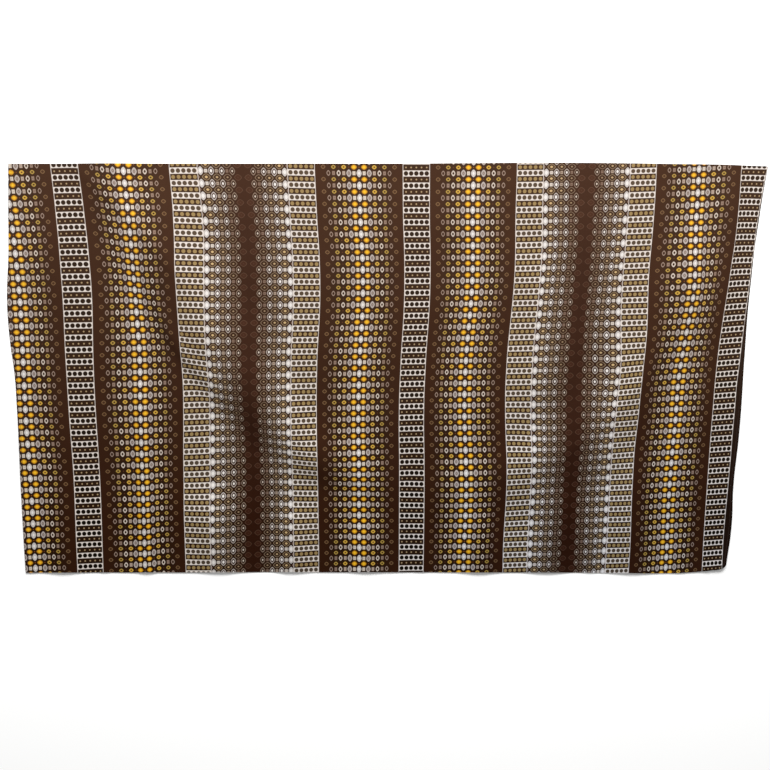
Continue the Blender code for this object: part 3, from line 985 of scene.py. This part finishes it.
def draw_motifs(board, ground, pitches, off_row, pitch, shift, motifs, halo=1.0, boxy=False, point=0.0):
    """Draws a row of motifs. Shift is 0 for motifs at whole pitches from the middle, or a half."""
    last = len(motifs) - 1
    number = round(pitches - shift).at_least(0.0).at_most(last)
    sizes = [(m.half_width / CELL, m.half_height / CELL, m.hole, m.heart) for m in motifs]
    chart = pick(board, number, sizes)
    parts = board.node("ShaderNodeSeparateColor", {}, {0: chart})
    wide, high, hole = (Wire(board, parts.socket.node.outputs[k]) for k in range(3))
    heart = Wire(board, chart.socket.node.outputs["Alpha"])
    x = (pitches - shift - number) * pitch / (wide * CELL)
    y = off_row / (high * CELL)
    reach = abs(x).at_least(abs(y)) if boxy else board.length(x, y)
    if point:
        reach = reach * (1 - point) + (abs(x) + abs(y)) * point
    blur = MOTIF_BLUR
    colour = board.mix(reach.under(halo, blur), ground, OUTLINE)
    colour = board.mix(reach.under(1.0, blur), colour, pick(board, number, [m.ring for m in motifs]))
    colour = board.mix(reach.under(hole, blur), colour, pick(board, number, [m.inside for m in motifs]))
    return board.mix(reach.under(heart, blur), colour, pick(board, number, [m.middle for m in motifs]))


def draw_ladder(board, ladder, off_middle, off_white, off_dark):
    """Draws a ladder stripe: white rows with dots, and dark rows with smaller ones."""
    dot = off_middle - round(off_middle / DOT_PITCH).at_most(LAST_DOT) * DOT_PITCH
    in_white = abs(off_white).under(WHITE_ROW_HALF, EDGE_BLUR)
    bold = board.length(dot, off_white).under(ladder.dot_half, EDGE_BLUR)
    small = board.length(dot, off_dark).under(ladder.small_half, EDGE_BLUR)
    white_row = board.mix(bold, CLOTH_WHITE, ladder.dot)
    dark_row = board.mix(small, ladder.dark_row, ladder.small_dot)
    rows = board.mix(in_white, dark_row, white_row)
    border = 1 - off_middle.under(LADDER_HALF - LADDER_BORDER, EDGE_BLUR)
    return board.mix(border, rows, CLOTH_WHITE)


# %% The whole print
def draw_print(board):
    """The colour of the print, from the print's own coordinates, with painted light and shade laid over it.
    """
    place = board.node("ShaderNodeUVMap", {"uv_map": "Print"}, {})
    parts = board.node("ShaderNodeSeparateXYZ", {}, {0: place})
    along = Wire(board, parts.socket.node.outputs[0])
    row = Wire(board, parts.socket.node.outputs[1])
    off_white = (row - round(row)) * ROW_HEIGHT
    off_dark = (row % 1.0 - 0.5) * ROW_HEIGHT
    off_bold = abs((along + REPEAT / 2) % REPEAT - REPEAT / 2)
    off_soft = abs(off_bold - LADDER_SPACING)
    off_gold = abs(off_bold - LADDER_SPACING / 2)
    off_grey = REPEAT / 2 - off_bold

    pitches = off_gold / GOLD_PITCH
    gold = board.mix(pitches.under(3.0, 1.2), BROWN, DEEP_BROWN)
    gold = draw_motifs(board, gold, pitches, off_white, GOLD_PITCH, 0.0, GOLD_OVALS, halo=1.22, point=0.30)
    gold = draw_motifs(board, gold, pitches, off_dark, GOLD_PITCH, 0.5, GOLD_SUNS, halo=1.20, point=0.30)
    gold = draw_motifs(board, gold, pitches, off_white, GOLD_PITCH, 0.5, GOLD_SQUARES, boxy=True)
    gold = draw_motifs(board, gold, pitches, off_dark, GOLD_PITCH, 0.0, GOLD_POINTS)

    pitches = off_grey / GREY_PITCH
    grey = board.mix(pitches.under(1.2, 1.2), DEEP_BROWN, RED_BROWN)
    grey = draw_motifs(board, grey, pitches, off_dark, GREY_PITCH, 0.5, GREY_LOZENGES, halo=1.16, point=0.42)
    grey = draw_motifs(board, grey, pitches, off_white, GREY_PITCH, 0.0, GREY_OVALS, halo=1.14, point=0.34)
    grey = draw_motifs(board, grey, pitches, off_white, GREY_PITCH, 0.5, GREY_LINKS, boxy=True)

    bold = draw_ladder(board, BOLD_LADDER, off_bold, off_white, off_dark)
    soft = draw_ladder(board, SOFT_LADDER, off_soft, off_white, off_dark)
    in_grey = off_grey.under(REPEAT / 2 - LADDER_SPACING, EDGE_BLUR)
    colour = board.mix(in_grey, gold, grey)
    colour = board.mix(off_soft.under(LADDER_HALF, EDGE_BLUR), colour, soft)
    colour = board.mix(off_bold.under(LADDER_HALF, EDGE_BLUR), colour, bold)
    # Painted shade: the ground past the last ladder is darker, for the curled right end.
    painted_end_shade = 1 - along.under(PAINTED_END_SHADE_START, EDGE_BLUR)
    colour = board.mix(painted_end_shade, colour, END_PAINTED_SHADE)
    # Painted light: paler towards the top.
    painted_light = ((PAINTED_LIGHT_END_ROW - row) * (PAINTED_LIGHT_SHARE / (PAINTED_LIGHT_END_ROW - PAINTED_LIGHT_START_ROW))).at_least(0.0).at_most(PAINTED_LIGHT_SHARE)
    colour = board.mix(painted_light, colour, PAINTED_LIGHT_TINT)
    # Painted light: cooler towards the lower right.
    lower = ((row - PAINTED_COOL_START_ROW) / PAINTED_COOL_ROWS).at_least(0.0).at_most(1.0)
    painted_cool_share = lower * ((along - PAINTED_COOL_START) / PAINTED_COOL_REACH).at_least(0.0).at_most(1.0)
    settings = {"data_type": "RGBA", "blend_type": "MULTIPLY"}
    colour = board.node("ShaderNodeMix", settings, {0: painted_cool_share, 6: colour, 7: PAINTED_COOL_LIGHT}, output=2)
    return colour, along, row


# %% [markdown]
# ## Cotton
#
# The cloth is plain-woven cotton. Its threads are half a millimetre apart, and a few are thicker than
# the rest, which shows as faint slubs along and across. The dye takes unevenly, by a few hundredths.
# Cotton has almost no shine, so the surface is very rough and has no highlight.

# %% The cotton's finish
THREAD_PITCH = 0.0005
WEAVE_HEIGHT = 0.00006
ROUGHNESS = 0.86
SPECULAR = 0.0


def make_cotton(name, darker=1.0):
    """Printed cotton: the print, the unevenness of its dye, its weave and its slubs. Darker, when under 1,
    scales the whole colour down as painted shade.
    """
    board = Board(name)
    colour, along, row = draw_print(board)
    place = board.node("ShaderNodeCombineXYZ", {}, {0: along, 1: row * ROW_HEIGHT})

    def noise(scale_x, scale_y, detail):
        stretched = board.node(
            "ShaderNodeVectorMath", {"operation": "MULTIPLY"}, {0: place, 1: (scale_x, scale_y, 1.0)}
        )
        inputs = {"Vector": stretched, "Scale": 1.0, "Detail": detail}
        return board.node("ShaderNodeTexNoise", {"noise_dimensions": "2D"}, inputs)

    slubs = noise(600.0, 9.0, 2.0) + noise(9.0, 600.0, 2.0)
    patches = noise(7.0, 9.0, 3.0)
    # A darker under 1 adds painted shade; the slubs and patches are the dye's own unevenness.
    shade = (0.84 + slubs * 0.08 + patches * 0.16) * darker
    tone = board.node("ShaderNodeCombineXYZ", {}, {0: shade, 1: shade, 2: shade})
    colour = board.node("ShaderNodeVectorMath", {"operation": "MULTIPLY"}, {0: colour, 1: tone})
    turn = 2 * math.pi / THREAD_PITCH
    weave = (along * turn).math("SINE") * (row * (ROW_HEIGHT * turn)).math("SINE")
    height = weave * 0.5 + slubs
    bump = board.node(
        "ShaderNodeBump", {}, {"Strength": 0.35, "Distance": WEAVE_HEIGHT, "Height": height}
    )
    board.feed(board.shader.inputs["Base Color"], colour)
    board.feed(board.shader.inputs["Normal"], bump)
    board.feed(board.shader.inputs["Roughness"], ROUGHNESS - 0.05 + slubs * 0.05)
    board.shader.inputs["Specular IOR Level"].default_value = SPECULAR
    print(name, "has", len(board.tree.nodes), "nodes")
    return board.material


cotton = make_cotton("printed_cotton")
cloth = make_cloth(cotton)
print("cloth:", len(cloth.data.vertices), "points,", 2 * len(cloth.data.polygons), "triangles")

# %% [markdown]
# ## The hems
#
# Each end is turned under by a centimetre and sewn down. The hem here is the turned layer below and the
# round fold at its outer side, as one thin strip bent into a hook. It follows the outline, and rises
# and falls with the cloth above it, because it reads the same height. The print runs on round the fold.

# %% The hems' strips
FOLD_SIDES = 8


def hem_section():
    """The hem cut across, as a hook: places out from the fold's middle and up, outer side first."""
    turn = np.linspace(math.pi / 2, -math.pi / 2, FOLD_SIDES + 1)
    inner = FOLD_RADIUS - CLOTH
    outer_side = [(FOLD_RADIUS * math.cos(a), FOLD_RADIUS + FOLD_RADIUS * math.sin(a)) for a in turn]
    inner_side = [(inner * math.cos(a), FOLD_RADIUS + inner * math.sin(a)) for a in turn[::-1]]
    return outer_side + [(-HEM_DEPTH, 0.0), (-HEM_DEPTH, CLOTH)] + inner_side


def make_hem(name, outline, material):
    """A turned hem along one end of the cloth."""
    out = outward(outline)
    line = outline - out * FOLD_RADIUS
    section = hem_section()
    sides = len(section)
    lift = lie(line[:, 0], line[:, 1])
    points = []
    for (x, y), (out_x, out_y), z in zip(line, out, lift):
        for across, up in section:
            points.append((x + out_x * across, y + out_y * across, z + up))
    points = np.array(points)
    faces = []
    for ring in range(len(line) - 1):
        for k in range(sides):
            a = ring * sides + k
            b = ring * sides + (k + 1) % sides
            faces.append((a, b, b + sides, a + sides))
    faces.append(tuple(range(sides))[::-1])
    faces.append(tuple(range(len(points) - sides, len(points))))
    made = new_piece(name, points, faces, material)
    along = np.repeat(np.linspace(0, 1, len(line)), sides)
    around = np.tile(np.linspace(0, 1, sides), len(line))
    give_map(made.data, "OFBake", np.stack([around, along], 1))
    give_map(made.data, "Print", print_place(points[:, 0], points[:, 1]))
    made.data.set_sharp_from_angle(angle=math.radians(60))
    return made


# The hems use the same print drawn darker, as painted shade on the turned folds.
hem_cotton = make_cotton("hem_cotton", darker=0.8)
left_hem = make_hem("left_hem", left_outline(), hem_cotton)
right_hem = make_hem("right_hem", right_outline(), hem_cotton)
print("hems:", [len(piece.data.polygons) for piece in (left_hem, right_hem)], "faces")

# %% [markdown]
# ## The sewing
#
# A lockstitch holds each hem, a line of short stitches in dark brown thread. Each stitch is a small
# tube, arched a little, that dips into the cloth at both ends. One function makes a stitch, and a loop
# sets it along the hem, so the whole line is one mesh.

# %% The stitches
STITCH_FROM_EDGE = 0.0075
STITCH_LENGTH = 0.0030
STITCH_SPACING = 0.0037
THREAD_HALF = 0.00032
STITCH_ARCH = 0.0003
STITCH_RINGS = 5
STITCH_SIDES = 6
THREAD = dye(58, 36, 28)


def make_thread():
    """Dark cotton thread with its twist."""
    board = Board("thread")
    place = board.node("ShaderNodeTexCoord", {}, {}, output=3)
    twist = board.node("ShaderNodeTexNoise", {}, {"Vector": place, "Scale": 900.0, "Detail": 2.0})
    colour = board.mix(twist, (THREAD[0] * 0.6, THREAD[1] * 0.6, THREAD[2] * 0.6, 1.0), THREAD)
    bump = board.node("ShaderNodeBump", {}, {"Strength": 0.4, "Distance": 0.0001, "Height": twist})
    board.feed(board.shader.inputs["Base Color"], colour)
    board.feed(board.shader.inputs["Normal"], bump)
    board.shader.inputs["Roughness"].default_value = 0.7
    return board.material


def make_stitches(name, outline, material):
    """A line of stitches beside an outline."""
    line = outline - outward(outline) * STITCH_FROM_EDGE
    run = np.concatenate([[0], np.cumsum(np.hypot(*np.diff(line, axis=0).T))])
    starts = np.arange(STITCH_SPACING, run[-1] - STITCH_SPACING, STITCH_SPACING)
    share = np.linspace(0, 1, STITCH_RINGS)
    at = starts[:, None] + share * STITCH_LENGTH
    x = np.interp(at, run, line[:, 0])
    y = np.interp(at, run, line[:, 1])
    top = lie(x.ravel(), y.ravel()) + ply_lift(x.ravel(), y.ravel()) + CLOTH
    z = top.reshape(x.shape) + STITCH_ARCH * np.sin(share * math.pi)
    way_x = (x[:, -1:] - x[:, :1]) / STITCH_LENGTH
    way_y = (y[:, -1:] - y[:, :1]) / STITCH_LENGTH
    points = []
    for k in range(STITCH_SIDES):
        angle = 2 * math.pi * k / STITCH_SIDES
        across = THREAD_HALF * math.cos(angle)
        up = THREAD_HALF * math.sin(angle)
        points.append(np.stack([x - way_y * across, y + way_x * across, z + up], -1))
    points = np.stack(points, 2).reshape(-1, 3)
    faces = []
    for stitch in range(len(starts)):
        first = stitch * STITCH_RINGS * STITCH_SIDES
        for ring in range(STITCH_RINGS - 1):
            for k in range(STITCH_SIDES):
                a = first + ring * STITCH_SIDES + k
                b = first + ring * STITCH_SIDES + (k + 1) % STITCH_SIDES
                faces.append((a, a + STITCH_SIDES, b + STITCH_SIDES, b))
        faces.append(tuple(first + k for k in range(STITCH_SIDES)))
        last = first + (STITCH_RINGS - 1) * STITCH_SIDES
        faces.append(tuple(last + k for k in range(STITCH_SIDES))[::-1])
    return new_piece(name, points, faces, material)


thread = make_thread()
left_stitches = make_stitches("left_hem_stitches", left_outline(), thread)
right_stitches = make_stitches("right_hem_stitches", right_outline(), thread)
print("stitches:", len(right_stitches.data.polygons), "faces at the right end")

# %% [markdown]
# ## The floor
#
# The floor is a plain pale sheet, far wider than the view, so that only the cloth's soft shadow shows.

# %% Floor
FLOOR_SIZE = 14.0
FLOOR_DROP = 0.0003
FLOOR_WHITE = (0.92, 0.92, 0.915, 1.0)


def make_floor():
    """A plain pale floor."""
    board = Board("pale_floor")
    board.shader.inputs["Base Color"].default_value = FLOOR_WHITE
    board.shader.inputs["Roughness"].default_value = 0.9
    board.shader.inputs["Specular IOR Level"].default_value = 0.1
    half = FLOOR_SIZE / 2
    mesh = bpy.data.meshes.new("floor")
    corners = [(-half, -half), (half, -half), (half, half), (-half, half)]
    mesh.from_pydata([(x, y, -FLOOR_DROP) for x, y in corners], [], [(0, 1, 2, 3)])
    mesh.materials.append(board.material)
    made = bpy.data.objects.new("floor", mesh)
    bpy.context.scene.collection.objects.link(made)
    return made


floor = make_floor()
floor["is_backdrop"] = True

# %% [markdown]
# ## Tying the pieces to the part
#
# Cloth has no joints, so every piece rides on the part's one body. The shell and the hems take the
# place of the solids, which stay for collision.

for piece in (cloth, left_hem, right_hem, left_stitches, right_stitches):
    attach(piece, "root")
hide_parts("cloth_panel")
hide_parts("hem_left_end")
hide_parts("hem_right_end")

# %% The finished size
seen_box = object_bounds()
sizes = {"cad": [list(corner) for corner in cad_box], "visual": [list(corner) for corner in seen_box]}
print("visual box:", [round(high - low, 4) for low, high in zip(*seen_box)])
